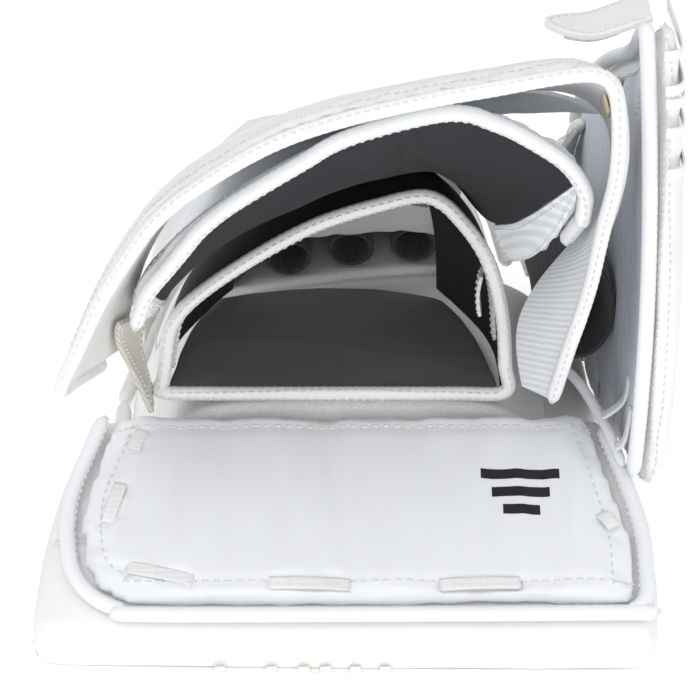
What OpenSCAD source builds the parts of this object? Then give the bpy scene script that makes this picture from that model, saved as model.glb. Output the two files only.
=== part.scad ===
// Left-hand goalkeeper's catch glove, lying palm down with its wrist end at -Y.
// +X is the thumb side, +Y points to the fingertips, Z = 0 is the surface it lies on.

/* [Cuff] */
// Width of the cuff board along its near edge
cuff_w = 234; // [205:1:270]
// Length of the cuff from its near edge to the hand opening
cuff_l = 98; // [82:1:118]
// Thickness of the cuff at its near edge
cuff_t = 27; // [23:0.5:33]
// Slope of the cuff, down from the hand opening
cuff_slope = 19.6; // [14:0.2:23]
// Thickness of the padded cuff liner
liner_t = 5; // [3.5:0.5:7]
// Thickness of the outer vinyl
vinyl_t = 1.6; // [1.2:0.1:2.4]

/* [Hand opening] */
// Inside width of the hand opening
mouth_w = 134; // [115:1:155]
// Inside height of the hand opening
mouth_h = 79; // [66:1:92]
// Length of the hand tunnel
tunnel_l = 96; // [80:1:108]
// Wall of the hand tunnel
tunnel_t = 2; // [1.4:0.2:3]

/* [Backhand] */
// How far the backhand pad rises above the opening at its front edge
flare_h = 61; // [48:1:72]
// How far the backhand pad stands forward of the opening
flare_l = 45; // [36:1:55]
// Thickness of the backhand pad
backhand_t = 11; // [8:0.5:13]
// Thickness of the wrist wrap
wrap_t = 7; // [5:0.5:9]
// How far the wrap stands forward of the opening
wrap_l = 60; // [50:1:72]

/* [Thumb] */
// Height of the thumb board at its near edge
thumb_h = 189; // [165:1:225]
// Reach of the thumb board beyond the opening
thumb_l = 214; // [180:1:245]
// Thickness of the thumb board's shell
thumb_t = 8; // [6:0.5:10]

/* [Fingers] */
// Distance from the opening to the fingertips
finger_l = 300; // [260:1:350]
// Width of the finger section at the break
finger_w = 157; // [138:1:172]
// Thickness of the padded finger back
finger_back_t = 9; // [6:0.5:12]
// Height of the finger section's arch at the break
arch_h = 50; // [42:1:58]

/* [Trim] */
// Radius of the rolled bindings
roll_r = 3.2; // [2.4:0.1:4]
// Width of the flat laces
lace_w = 5; // [4:0.2:7]
// Gap kept between neighbouring pieces
gap = 0.4; // [0.3:0.05:0.8]

/* [Hidden] */

lip_z = cuff_t + cuff_l * tan(cuff_slope);
half_w = cuff_w / 2;
mouth_r = mouth_w / 2;
mouth_x = -6.5;
mouth_top = lip_z + 1 + mouth_h;
near_y = -cuff_l - 5;
tip_y = finger_l;
mid_y = (near_y - 1.2 + tip_y) / 2;
thumb_x = half_w - 9;
mid_x = (thumb_x + thumb_t + 4 - half_w) / 2;
palm_half = half_w - 26;

// --- points, curves and solids ---------------------------------------------------------------

function unit(v) = v / max(norm(v), 0.000001);
function mix(a, b, t) = a + (b - a) * t;

// Point at t from 0 to 1 on a smooth open curve through the points p
function on_curve(p, t) =
    let (n = len(p) - 1, s = min(t * n, n - 0.000001), i = floor(s), f = s - i,
         a = p[max(i - 1, 0)], b = p[i], c = p[i + 1], d = p[min(i + 2, n)])
    0.5 * (2 * b + (c - a) * f + (2 * a - 5 * b + 4 * c - d) * f * f + (3 * b - a - 3 * c + d) * f * f * f);
function curve(p, n) = [for (i = [0:n]) on_curve(p, i / n)];

// Closed outline with rounded corners, from a list of [x, y, corner radius]
function rounded(p, steps = 4) = [for (i = [0:len(p) - 1])
    let (n = len(p), v = [p[i].x, p[i].y], a = p[(i + n - 1) % n], b = p[(i + 1) % n],
         va = unit([a.x, a.y] - v), vb = unit([b.x, b.y] - v),
         s = v + va * p[i].z, e = v + vb * p[i].z)
    for (k = [0:steps]) let (t = k / steps) s * (1 - t) * (1 - t) + v * 2 * t * (1 - t) + e * t * t];

// The outline moved inwards by d
function inset(p, d) = [for (i = [0:len(p) - 1])
    let (n = len(p), e = unit(p[(i + 1) % n] - p[(i + n - 1) % n])) p[i] + [-e.y, e.x] * d];

// Surface normals of a grid of points; wrap joins the last row to the first
function grid_normal(g, i, j, wrap) =
    let (m = len(g), n = len(g[0]),
         a = g[wrap ? (i + m - 1) % m : max(i - 1, 0)][j], b = g[wrap ? (i + 1) % m : min(i + 1, m - 1)][j],
         c = g[i][max(j - 1, 0)], d = g[i][min(j + 1, n - 1)])
    unit(cross(b - a, d - c));
function raised(g, h, wrap = false) = [for (i = [0:len(g) - 1]) [for (j = [0:len(g[0]) - 1])
    g[i][j] + grid_normal(g, i, j, wrap) * h]];
// The same, with the height falling to a share of h at the grid's edges
function padded(g, h, edge = 0.4, wrap = false) =
    let (m = len(g) - 1, n = len(g[0]) - 1)
    [for (i = [0:m]) [for (j = [0:n])
        let (u = wrap ? 0 : abs(2 * i / m - 1), v = abs(2 * j / n - 1),
             k = edge + (1 - edge) * sqrt(max(0, (1 - pow(u, 6)) * (1 - pow(v, 4)))))
        g[i][j] + grid_normal(g, i, j, wrap) * h * k]];
// Grid between two or more edge curves, smooth across them
function between(curves, n, steps) =
    let (rows = [for (c = curves) curve(c, n)])
    [for (i = [0:n]) [for (j = [0:steps]) on_curve([for (r = rows) r[i]], j / steps)]];

module home() translate([-mid_x, -mid_y, 0]) children();

// Solid between two grids of points
module slab(lo, hi, wrap = false) {
    m = len(lo);
    n = len(lo[0]);
    low = function (i, j) (i % m) * n + j;
    top = function (i, j) m * n + (i % m) * n + j;
    quads = concat(
        [for (i = [0:m - (wrap ? 1 : 2)]) for (j = [0:n - 2])
            [top(i, j), top(i, j + 1), top(i + 1, j + 1), top(i + 1, j)]],
        [for (i = [0:m - (wrap ? 1 : 2)]) for (j = [0:n - 2])
            [low(i, j), low(i + 1, j), low(i + 1, j + 1), low(i, j + 1)]],
        [for (i = [0:m - (wrap ? 1 : 2)]) [low(i, 0), top(i, 0), top(i + 1, 0), low(i + 1, 0)]],
        [for (i = [0:m - (wrap ? 1 : 2)])
            [low(i + 1, n - 1), top(i + 1, n - 1), top(i, n - 1), low(i, n - 1)]],
        wrap ? [] : [for (j = [0:n - 2]) [low(0, j + 1), top(0, j + 1), top(0, j), low(0, j)]],
        wrap ? [] : [for (j = [0:n - 2]) [low(m - 1, j), top(m - 1, j), top(m - 1, j + 1), low(m - 1, j + 1)]]);
    home() polyhedron(points = concat([for (r = lo) each r], [for (r = hi) each r]),
        faces = [for (q = quads) each [[q[0], q[1], q[2]], [q[0], q[2], q[3]]]]);
}

// Solid through a stack of closed rings, closed at both ends, or joined end to end
module stack(rings, closed = false) {
    m = len(rings);
    n = len(rings[0]);
    at = function (k, i) (k % m) * n + (i % n);
    middle = function (r) [for (axis = [0:2]) [for (p = r) p[axis]] * [for (p = r) 1] / n];
    walls = [for (k = [0:m - (closed ? 1 : 2)]) for (i = [0:n - 1]) each
        [[at(k, i), at(k + 1, i), at(k + 1, i + 1)], [at(k, i), at(k + 1, i + 1), at(k, i + 1)]]];
    caps = closed ? [] : [for (i = [0:n - 1]) each
        [[m * n, at(0, i), at(0, i + 1)], [m * n + 1, at(m - 1, i + 1), at(m - 1, i)]]];
    home() polyhedron(
        points = concat([for (r = rings) each r], closed ? [] : [middle(rings[0]), middle(rings[m - 1])]),
        faces = concat(walls, caps));
}

// Round or oval roll along a path; up is any direction that the path never follows
module roll(path, a, b = 0, up = [0, 0, 1], sides = 8, closed = false) {
    n = len(path);
    high = b > 0 ? b : a;
    stack([for (i = [0:n - 1])
        let (before = path[closed ? (i + n - 1) % n : max(i - 1, 0)],
             after = path[closed ? (i + 1) % n : min(i + 1, n - 1)],
             along = unit(after - before), side = unit(cross(along, up)), out = cross(along, side))
        [for (k = [0:sides - 1]) path[i] + side * a * cos(360 * k / sides) + out * high * sin(360 * k / sides)]],
        closed);
}

// Flat strap between two edge curves
module strap(left, right, n, t, lift = 0) {
    g = between([left, right], n, 2);
    slab(raised(g, lift), raised(g, lift + t));
}

// --- cuff ------------------------------------------------------------------------------------

function cuff_z(y) = lip_z + y * tan(cuff_slope);
function on_cuff(p, depth) = [for (q = p) [q.x, q.y, max(0, cuff_z(q.y) - depth)]];
base_seam = cuff_t - 5.5;
cuff_line = rounded([
    [-half_w - 1, near_y + 2, 12], [half_w - 4, near_y, 12], [half_w - 1.5, near_y + 39, 12],
    [half_w - 6, -46, 12], [half_w - 18, -1, 6], [-half_w + 18, -1, 10],
    [-half_w + 5, -34, 16], [-half_w, -72, 16]], 3);
liner_line = rounded([
    [-half_w + 12, -cuff_l, 36], [half_w - 7, -cuff_l + 1, 12], [half_w - 6.5, -64, 8], [half_w - 10.5, -44, 10],
    [half_w - 22, -2, 10], [-half_w + 23, -2, 10], [-half_w + 10, -46, 12]], 4);

module cuff_base() color("whitesmoke")
    stack([on_cuff(inset(cuff_line, 9), cuff_t), on_cuff(inset(cuff_line, 2), cuff_t - 1),
           on_cuff(inset(cuff_line, 0), base_seam + gap),
           on_cuff(inset(cuff_line, vinyl_t), base_seam + gap),
           on_cuff(inset(cuff_line, vinyl_t + 2.5), cuff_t - 1 - vinyl_t),
           on_cuff(inset(cuff_line, 10), cuff_t - vinyl_t)]);

module cuff_core() color("lightgray")
    stack([on_cuff(inset(cuff_line, 11), cuff_t - vinyl_t - gap),
           on_cuff(inset(cuff_line, vinyl_t + 4), base_seam + gap),
           on_cuff(inset(cuff_line, vinyl_t + gap), base_seam - 2),
           on_cuff(inset(cuff_line, vinyl_t + gap), liner_t + 5),
           on_cuff(inset(cuff_line, vinyl_t + 5), liner_t + 2 * gap + vinyl_t)]);

module cuff_cover() color("whitesmoke")
    stack([on_cuff(inset(cuff_line, 6), liner_t + gap + vinyl_t), on_cuff(inset(cuff_line, vinyl_t), liner_t + 4.5),
           on_cuff(inset(cuff_line, vinyl_t), base_seam), on_cuff(inset(cuff_line, 0), base_seam),
           on_cuff(inset(cuff_line, -0.6), liner_t + 9), on_cuff(inset(cuff_line, 1), liner_t + 3),
           on_cuff(inset(cuff_line, 5), liner_t + gap)]);

module cuff_liner() color("white")
    stack([on_cuff(inset(liner_line, roll_r + 1), liner_t), on_cuff(inset(liner_line, roll_r + gap), liner_t - 1),
           on_cuff(inset(liner_line, roll_r + gap + 0.5), 1.5), on_cuff(inset(liner_line, roll_r + 6), 0)]);

// Rolled edge round the liner, open where the hand opening meets it
roll_path = [for (k = [28:34]) liner_line[k], for (k = [0:20]) liner_line[k]];
module cuff_liner_roll() color("white")
    roll([for (p = inset(roll_path, 0)) each on_cuff([p], liner_t - roll_r)], roll_r - 0.3, sides = 6);

// One flat lace stitch lying on the cuff, from a to b
module cuff_stitch(a, b) {
    d = unit(b - a) * lace_w / 2;
    side = function (s) [for (t = [0, 0.25, 0.75, 1]) let (p = mix(a, b, t) + s * [-d.y, d.x])
        [p.x, p.y, cuff_z(p.y) + 0.5 + 3 * t * (1 - t)]];
    strap(side(-1), side(1), 3, 1.2);
}
stitches = [
    [[-half_w + 37, -17], [-half_w + 34, -26]], [[-half_w + 30, -42], [-half_w + 26, -60]],
    [[-half_w + 34, -80], [-half_w + 59, -86]], [[-half_w + 87, -87], [-half_w + 117, -88]],
    [[half_w - 84, -88], [half_w - 54, -87]], [[half_w - 22, -56], [half_w - 18, -62]]];
module cuff_lace() color("white")
    for (s = stitches) cuff_stitch(s[0], s[1]);

// Raised vinyl strips that wrap under the near edge
module cuff_rib(x) {
    edge = near_y + 1.2;
    path = [[x, edge - 1.2, cuff_z(edge) - base_seam + 1], [x, edge - 1.8, 6.5], [x, edge - 1.4, 3], [x, edge - 0.4, 0.9]];
    strap([for (p = path) p - [2, 0, 0]], [for (p = path) p + [2, 0, 0]], 3, 0.8);
}
rib_at = [-48, -29, -17, -9, 2, 13];
module cuff_ribs() color("whitesmoke")
    for (x = rib_at) cuff_rib(x);

// --- thumb -----------------------------------------------------------------------------------

thumb_low = lip_z - 17;
// The board's outline in the upright plane, as [y, z], from its near lower point round the top
thumb_line = curve([
    [-44, thumb_low + 4], [-46.5, thumb_low + 30], [-46.5, thumb_low + 0.5 * thumb_h],
    [-45, thumb_low + thumb_h - 18], [-32, thumb_low + thumb_h - 1], [20, thumb_low + thumb_h - 30],
    [90, thumb_low + thumb_h - 62], [160, thumb_low + thumb_h - 100], [thumb_l - 8, 92], [thumb_l, 60],
    [thumb_l - 12, 20], [thumb_l - 45, 2.4], [110, 2.4], [60, 12], [8, thumb_low - 16], [-30, thumb_low - 6],
    [-44, thumb_low + 4]], 40);
// How far the board bows outwards at a height
function thumb_bow(y, z) = 5 * sin(180 * min(1, max(0, z / (thumb_low + thumb_h)))) - 0.045 * max(0, y);
function thumb_point(p, out) = [thumb_x + thumb_bow(p.x, p.y) + out, p.x, p.y];
// The outline moved inwards by d, and a grid of points that fills it
function thumb_outline(d) = let (q = inset([for (k = [0:39]) thumb_line[k]], -d)) concat(q, [q[0]]);
function thumb_face(d, out) = let (q = thumb_outline(d))
    [for (k = [1:19]) [for (j = [0:6]) thumb_point(mix(q[40 - k], q[k], j / 6), out)]];
liner_in = 2.4;

module thumb_shell() color("whitesmoke")
    slab(thumb_face(0, 0), padded(thumb_face(0, 0), thumb_t, 0.6));

module thumb_liner() color("lightsteelblue")
    slab(padded(thumb_face(2 * roll_r + 3, -2.4 * gap), -liner_in - 1.1, 0.6),
        thumb_face(2 * roll_r + 3, -2.4 * gap));

// Rolled edge round the near side and the top of the thumb liner
module thumb_roll() color("white")
    roll([for (k = [0:20]) thumb_point(thumb_outline(roll_r + 0.8)[k], -roll_r - gap)], roll_r - 0.3,
        up = [1, 0, 0], sides = 6);

module thumb_rib(below) {
    z = thumb_low + thumb_h - below;
    y = -46.6 + 0.011 * pow(max(0, 28 - below), 2);
    x = thumb_x + thumb_bow(y, z);
    path = [[x + 2, y - 0.5, z], [x + thumb_t - 3, y - 0.6, z], [x + thumb_t - 0.6, y + 3, z],
            [x + thumb_t + 0.4, y + 10, z], [x + thumb_t + 0.4 - 1.5, y + 50, z]];
    strap([for (p = path) p - [0, 0, 2]], [for (p = path) p + [0, 0, 2]], 6, 0.8, 0.6);
}
thumb_rib_at = [10, 22, 27, 38, 54];
module thumb_ribs() color("whitesmoke")
    for (d = thumb_rib_at) thumb_rib(d);

// Lace stitches that tie the thumb board to the cuff
module thumb_lace() color("white")
    for (y = [-31, -16]) {
        x = half_w - 10.5 - 0.27 * (y + 44);
        z = cuff_z(y);
        path = [[x - 1.5, y, z + 6.3], [x + 1.5, y, z + 8], [thumb_in(y, z + 14) - 1, y, z + 14], [thumb_in(y, z + 24) - 0.5, y, z + 24]];
        strap([for (p = path) p - [0, lace_w / 2, 0]], [for (p = path) p + [0, lace_w / 2, 0]], 6, 1.2);
    }

// Stitched roll in the valley between the cuff liner and the thumb liner
module valley_roll() color("white")
    roll(curve([[half_w - 13, -36, cuff_z(-36) + 3.4], [half_w - 19, -16, cuff_z(-16) + 3.6],
                [half_w - 28, 8, lip_z + 3.6], [half_w - 35, 26, lip_z + 1]], 8), 2.1, sides = 6);

// Padded sleeve for the thumb, open at the wrist end
thumb_hole_r = 15;
stall_wall = 2.2;
function thumb_in(y, z) = thumb_x + thumb_bow(y, z) - liner_in - 1.5 - 2 * gap;
// Open sleeve through oval rings, each [middle, half width, half height]
module sleeve(rings, wall, sides = 12) {
    grid = [for (k = [0:sides - 1]) [for (r = rings)
        let (turn = -360 * k / sides) r[0] + [r[1] * cos(turn), 0, r[2] * sin(turn)]]];
    slab(raised(grid, -wall, true), grid, true);
}
module thumb_stall() color("dimgray")
    sleeve([for (p = [[32, 84, 1], [80, 84, 1], [118, 76, 0.95], [146, 68, 0.78]])
        let (r = (thumb_hole_r + 1) * p[2])
        [[thumb_in(p[0], p[1]) - gap - r, p[0], p[1]], r, r + 7]], stall_wall, 16);

// --- palm ------------------------------------------------------------------------------------

// Line where the palm breaks: from the little-finger side to the thumb side
break_l = [-palm_half, 100];
break_r = [palm_half, 142];
function break_y(x) = break_l.y + (x - break_l.x) * (break_r.y - break_l.y) / (break_r.x - break_l.x);
// Height of the palm's outer face across the hand
palm_x = [for (s = [-1, -0.92, -0.72, -0.33, 0.05, 0.44, 0.72, 0.94, 1.04]) s * palm_half];
palm_shape = [0.02, 0.5, 0.84, 0.97, 1, 0.96, 0.82, 0.5, 0.1];
function palm_row(y, h) = [for (k = [0:len(palm_x) - 1])
    let (at = y == undef ? break_y(palm_x[k]) - gap : y)
    [k == len(palm_x) - 1 ? thumb_x + thumb_bow(at, 8) - 2.6 : palm_x[k], at, 1.5 + palm_shape[k] * h]];
palm_grid = between([palm_row(0.3, lip_z - cuff_t + 2), palm_row(34, arch_h - 8), palm_row(70, arch_h - 3),
                     palm_row(undef, arch_h - 3)], 18, 6);
leather_t = 2;
floor_z = lip_z + 1;
floor_t = 2;
floor_r = mouth_r - tunnel_t - 0.6;

module palm_leather() color("white")
    slab(palm_grid, raised(palm_grid, leather_t));

// Foam between the leather and the suede floor, thinner towards its sides
module palm_foam() color("gainsboro") {
    g = [for (i = [3:15]) [for (j = [0:6]) palm_grid[i][j] + [0, j == 0 ? 0.3 : j == 6 ? -2.5 : 0, leather_t + 2 * gap]]];
    top = [for (i = [0:12]) [for (j = [0:6])
        let (p = g[i][j], w = (1 - pow(abs(i - 6) / 6, 4)) * (1 - pow(j / 6, 4)))
        [p.x, p.y, max(p.z + 3, mix(p.z + 3, floor_z - floor_t - gap, w))]]];
    slab(g, top);
}

// Rolled perimeter along the little-finger side of the palm
edge_r = 3.6;
module palm_edge() color("white")
    roll(curve([for (j = [0, 2, 4, 6]) [palm_grid[0][j].x - edge_r - leather_t - gap, palm_grid[0][j].y, edge_r]], 8),
        edge_r, sides = 8);

module palm_suede() color("dimgray") {
    g = between([
        [[mouth_x - floor_r, 4, floor_z + 2.5], [mouth_x - 20, 4, floor_z], [mouth_x + 20, 4, floor_z],
         [mouth_x + floor_r, 4, floor_z + 2.5]],
        [[mouth_x - mouth_r + 8, 50, floor_z], [mouth_x - 20, 50, floor_z], [mouth_x + 20, 50, floor_z],
         [mouth_x + mouth_r - 10, 50, floor_z]],
        [[mouth_x - mouth_r + 18, tunnel_l - 12, floor_z], [mouth_x - 18, tunnel_l - 4, floor_z],
         [mouth_x + 18, tunnel_l - 4, floor_z], [mouth_x + mouth_r - 22, tunnel_l - 12, floor_z]]], 10, 5);
    slab(raised(g, -floor_t), g);
}

// --- hand opening ----------------------------------------------------------------------------

// Mouth of the opening from its lower left, over the top, to its lower right, at a share s of its size
function mouth_curve(s, y) = [for (p = [
    [-1, 3, 0.025], [-0.97, 2, 0.2], [-0.91, 4, 0.42], [-0.64, 8, 0.62], [-0.15, 14, 0.85], [0.28, 16, 0.97],
    [0.56, 17, 1], [0.76, 14, 0.86], [0.9, 8, 0.68], [0.98, 4, 0.4], [1, 3, 0.025]])
    [mouth_x + p.x * mouth_r * s, p.y * (y == 0 ? 1 : 0.2) + y, lip_z + 1 + p.z * mouth_h * (0.5 + 0.5 * s)]];

tunnel_grid = between([mouth_curve(1, 0), mouth_curve(0.97, 42), mouth_curve(0.66, tunnel_l - 6)], 20, 4);
module tunnel_lining() color("black")
    slab(raised(tunnel_grid, -tunnel_t), tunnel_grid);

// A layer on the inside of the tunnel's wall, over some of its columns, from y0 to y1
module on_wall(first, last, y0, y1, t, steps = 1) {
    g = [for (i = [first:last]) [for (j = [0:steps])
        let (row = tunnel_grid[i], y = mix(y0, y1, j / steps), k = row[1].y > y ? 0 : row[2].y > y ? 1 : 2,
             t = (y - row[k].y) / (row[k + 1].y - row[k].y))
        mix(row[k], row[k + 1], t)]];
    slab(raised(g, -tunnel_t - 2 * gap - t), raised(g, -tunnel_t - 2 * gap));
}
module left_facing() color("white") on_wall(1, 5, 9, 17, 1.2);
module right_facing() color("white") on_wall(15, 19, 17, 26, 1.2);
module elastic_gusset() color("black") on_wall(1, 4, 19, 40, 1, 2);
// Perforated vent let into the roof of the tunnel
module vent_mesh() color("dimgray") on_wall(11, 13, 34, 52, 0.6, 2);

// Bound lip all round the opening
module mouth_binding() color("white") {
    top = curve([for (p = mouth_curve(1, 0)) p + [0, -roll_r, 0]], 22);
    lip = [for (t = [0.15, 0.5, 0.85]) mix(top[22], top[0], t) + [0, -0.5, -0.5]];
    roll(concat(top, lip), roll_r - 0.3, up = [0, 1, 0], sides = 6, closed = true);
}

module facing_tab() color("white") {
    p = tunnel_grid[18][0] + [-tunnel_t - gap - 5.6, 6, -2];
    strap([p, p + [-1, 1, 8], p + [0.4, 2, 16]], [p + [0.4, 9, 0], p + [-0.6, 10, 8], p + [0.8, 11, 16]], 4, 1.4);
}

// Grey strap that holds the back of the hand down, across the tunnel
strap_line = [[-50, 48, 28], [-38, 50, 42], [-18, 52, 52], [6, 54, 58]];
function strap_point(k) = strap_line[k] + [mouth_x, 0, lip_z];
module hand_strap() color("gray")
    strap([for (k = [0:3]) strap_point(k)], [for (k = [0:3]) strap_point(k) + [5, 24, -3]], 8, 2);
module hand_strap_tab() color("gray") {
    e = strap_point(3) + [gap, 0, 0];
    line = [e, e + [13, 0, 1], e + [25, -1, 0], e + [31, -1, -1]];
    strap(line, [line[0] + [5, 24, -3], line[1] + [3, 24, -3], line[2] + [1, 20, -2], line[3] + [0, 12, -1]], 6, 2);
}

// --- backhand --------------------------------------------------------------------------------

hinge_y = tunnel_l - 8;
hinge_z = mouth_top - 3 + backhand_t;
flare_top = mouth_top + flare_h + 4;
// Outer face of the backhand pad: its front edge, left to right, as [x, forward or back, drop]
flare = [for (p = [[-80, 0, 84], [-76, 0, 73], [-66, 0, 60], [-50, 0, 41], [-19, 0, 20], [0, 0, 9], [34, 0, 0],
                   [52, 0, 4], [67, 0, 12], [79, 0, 21], [86, 1, 33], [86, 2, 43]])
    [p.x, -flare_l + p.y, flare_top - p.z]];
// Where the pad bends in to the opening
throat = [for (p = [[-1.0, 0.42], [-0.99, 0.5], [-0.92, 0.60], [-0.64, 0.76], [-0.22, 0.92], [0.06, 1.01],
                    [0.32, 1.07], [0.56, 1.09], [0.74, 1.02], [0.92, 0.88], [1.01, 0.70], [1.04, 0.60]])
    [mouth_x + p.x * (mouth_r + 6), 1 + 9 * p.y * p.y, lip_z + 8 + 9 * min(1, 2.2 * p.y - 0.9) + p.y * mouth_h]];
// Rear edge, at the seam over the knuckles
seam = [for (p = [-1, -0.84, -0.66, -0.46, -0.24, -0.04, 0.16, 0.36, 0.54, 0.72, 0.88, 1])
    [mouth_x + 2 + p * 46, hinge_y - 4, hinge_z - 4.5 - 12 * pow(abs(p), 2.5)]];
crest = [for (k = [0:11]) mix(throat[k], seam[k], 0.5) + [0, 0, 4]];
backhand_grid = between([flare, throat, crest, seam], 24, 8);
backhand_inner = padded(backhand_grid, 2 - backhand_t, 0.5);

module backhand_shell() color("white")
    slab(backhand_inner, backhand_grid);

// Layers on the inner face: the lining, and a webbing flange at each end
function part_of(g, first, last, reach) = [for (i = [first:last]) [for (j = [0:reach]) g[i][j]]];
module inner_layer(first, last, reach, t)
    slab(part_of(raised(backhand_inner, -gap - t), first, last, reach),
        part_of(raised(backhand_inner, -gap), first, last, reach));
module backhand_lining() color("black") inner_layer(2, 21, 8, 2);
module right_flange() color("white") translate([0.3, 0, 0]) inner_layer(21, 24, 3, 1.6);
module left_flange() color("white") translate([-0.3, 0, 0]) inner_layer(0, 2, 3, 1.6);

module backhand_binding() color("white") {
    out = roll_r + gap;
    middle = function (i, j) mix(backhand_grid[i][j], backhand_inner[i][j], 0.5);
    // Beyond the pad's right end, beside its edge
    beside = function (j) middle(24, j) + unit(backhand_grid[24][j] - backhand_grid[22][j]) * (out + 1);
    path = concat([middle(0, 0) + [-1, -out - 1, -4]],
                  [for (i = [0:23]) middle(i, 0) + [0, -out - 1.6, 0]],
                  [beside(0) + [0, -out - 1, 2], for (j = [0:1]) beside(j)]);
    roll(path, roll_r - 0.3, up = [0, 1, 0.3], sides = 8);
}

// Strap with a hook-and-loop end that ties the pad down beside the opening
module hook_strap() color("linen") {
    x = mouth_x - mouth_r - roll_r - 2.4;
    strap([[x - 7, -41, lip_z + 55], [x - 8.5, -39, lip_z + 50], [x - 8, -34, lip_z + 40], [x - 4, -20, lip_z + 20],
           [x + 1, -9, cuff_z(-9) + 1.2]],
          [[x + 1, -17, lip_z + 47], [x - 1, -15, lip_z + 38], [x - 2, -13, lip_z + 31], [x - 1, -4, lip_z + 15],
           [x, 4, cuff_z(4) + 1.2]], 10, 2.2);
}

// --- wrist wrap ------------------------------------------------------------------------------

// Edges of the wrap, from its free end over the top and down to the tip of its leg: [x, back, up]
wrap_front = [for (p = [[-104, 0, -38], [-92, 0, -10], [-80, 0, 11], [-66, 0, 30], [-42, 0, 48], [-17, 0, 61],
                        [17, 0, 71], [52, 0, 78], [80, 0, 83], [91, 0, 79], [94, 0, 64], [94, 2, 43],
                        [91, 10, 19], [87, 16, -10], [81, 22, -37], [76, 28, -62]])
    [p.x, -wrap_l + p.y, mouth_top + p.z]];
wrap_rear = [for (p = [[-90, 44, -50], [-84, 44, -24], [-76, 46, -4], [-62, 54, 12], [-40, 63, 24], [-16, 70, 32],
                       [16, 78, 36], [50, 76, 42], [78, 70, 46], [92, 60, 42], [97, 52, 32], [96, 50, 14],
                       [86, 51, -7], [72, 52, -26], [63, 51, -46], [66, 42, -66]])
    [p.x + 1, -wrap_l + p.y, mouth_top + p.z + 1.5]];
wrap_grid = between([wrap_front, wrap_rear], 28, 4);
end_pad_at = 5;

module wrap_shell() color("white")
    slab(wrap_grid, padded(wrap_grid, wrap_t - 2, 0.5));
module wrap_lining() color("white")
    slab(part_of(raised(wrap_grid, -gap - 1.2), end_pad_at, 28, 4), part_of(raised(wrap_grid, -gap), end_pad_at, 28, 4));
// Soft pad inside the wrap's free end
module wrap_end_pad() color("whitesmoke")
    translate([-0.3, 0, -0.3])
        slab(part_of(raised(wrap_grid, -gap - 2.6), 0, end_pad_at, 4), part_of(raised(wrap_grid, -gap), 0, end_pad_at, 4));
module wrap_binding() color("white")
    roll(concat([for (j = [3:-1:1]) wrap_grid[0][j] + [-1, 0, -roll_r - gap - 1]],
                [wrap_grid[0][0] + [-2, -roll_r, -roll_r - gap]],
                [for (i = [1:28]) wrap_grid[i][0] + [0, -roll_r - gap, 0]]),
        roll_r - 0.4, up = [0, 1, 0.2], sides = 8);
// Cloth tongue from the wrap's rear edge back to the seam over the knuckles
module wrap_tongue() color("white") {
    front = [for (i = [5, 8, 11, 14, 17]) wrap_grid[i][4] + [0, gap + 0.6, 0]];
    back = [for (p = [-0.8, -0.4, 0, 0.4, 0.8])
        [mouth_x + 2 + p * 46, hinge_y - 4, hinge_z - 1 - 10 * pow(abs(p), 2.5)]];
    middle = [for (k = [0:4]) mix(front[k], back[k], 0.5) + [0, 0, 3]];
    g = between([front, middle, back], 10, 5);
    slab(raised(g, -2.4), g);
}
// Small loop on the lining at the wrap's upper corner
module wrap_keeper() color("tan") {
    g = [for (i = [17, 18]) [for (j = [1, 2]) wrap_grid[i][j]]];
    slab(raised(g, -2 * gap - 2.6), raised(g, -2 * gap - 1.4));
}

// --- thumb strap -----------------------------------------------------------------------------

strap_z = thumb_low + thumb_h - 10;
// Vinyl strap from the thumb board's top edge, ending in a pointed tab
thumb_strap_mid = [[thumb_x + 2, 3, -1], [98, 2, -5], [88, 1, -8], [78, 0, -7], [71, 0, -6]];
thumb_strap_half = [13, 13, 12, 9, 3];
function strap_side(side) = [for (k = [0:4]) thumb_strap_mid[k] + [0, side * thumb_strap_half[k], strap_z]];
module thumb_strap() color("gainsboro")
    strap(strap_side(1), strap_side(-1), 8, 2.2);
module thumb_strap_web() color("white") {
    low = [0, 0, -1.4 - 1.5 * gap];
    strap([for (k = [1:3]) strap_side(0.7)[k] + low], [for (k = [1:3]) strap_side(-0.7)[k] + low], 5, 1.4);
}

// --- fingers ---------------------------------------------------------------------------------

// Rows of the finger section: [share of the reach, left and right as shares of the break's, height]
finger_shape = [[0, 1, 1, 1], [0.25, 0.93, 0.94, 0.98], [0.5, 0.87, 0.91, 0.88], [0.75, 0.72, 0.84, 0.66],
                [0.93, 0.48, 0.62, 0.36], [1, 0.24, 0.33, 0.14]];
finger_dome = [0.02, 0.84, 0.95, 0.99, 1, 0.96, 0.82];
edge_out = edge_r + leather_t + 2 * gap;
function finger_row(p) = [for (k = [0:6])
    let (x = mix(-palm_half * p[1], (finger_w - palm_half) * p[2], k / 6))
    [x, mix(break_y(x) + gap, tip_y - edge_r - edge_out, p[0]), 1.5 + p[3] * finger_dome[k] * (arch_h - 4)]];
finger_grid = between([for (p = finger_shape) finger_row(p)], 12, 14);
finger_foam_t = 4;

module finger_leather() color("white")
    slab(finger_grid, raised(finger_grid, leather_t));

module finger_foam() color("gainsboro") {
    g = [for (i = [2:10]) [for (j = [0:12]) finger_grid[i][j] + [0, j == 0 ? 1 : 0, 0]]];
    slab(raised(g, leather_t + gap), raised(g, leather_t + gap + finger_foam_t));
}

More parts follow.
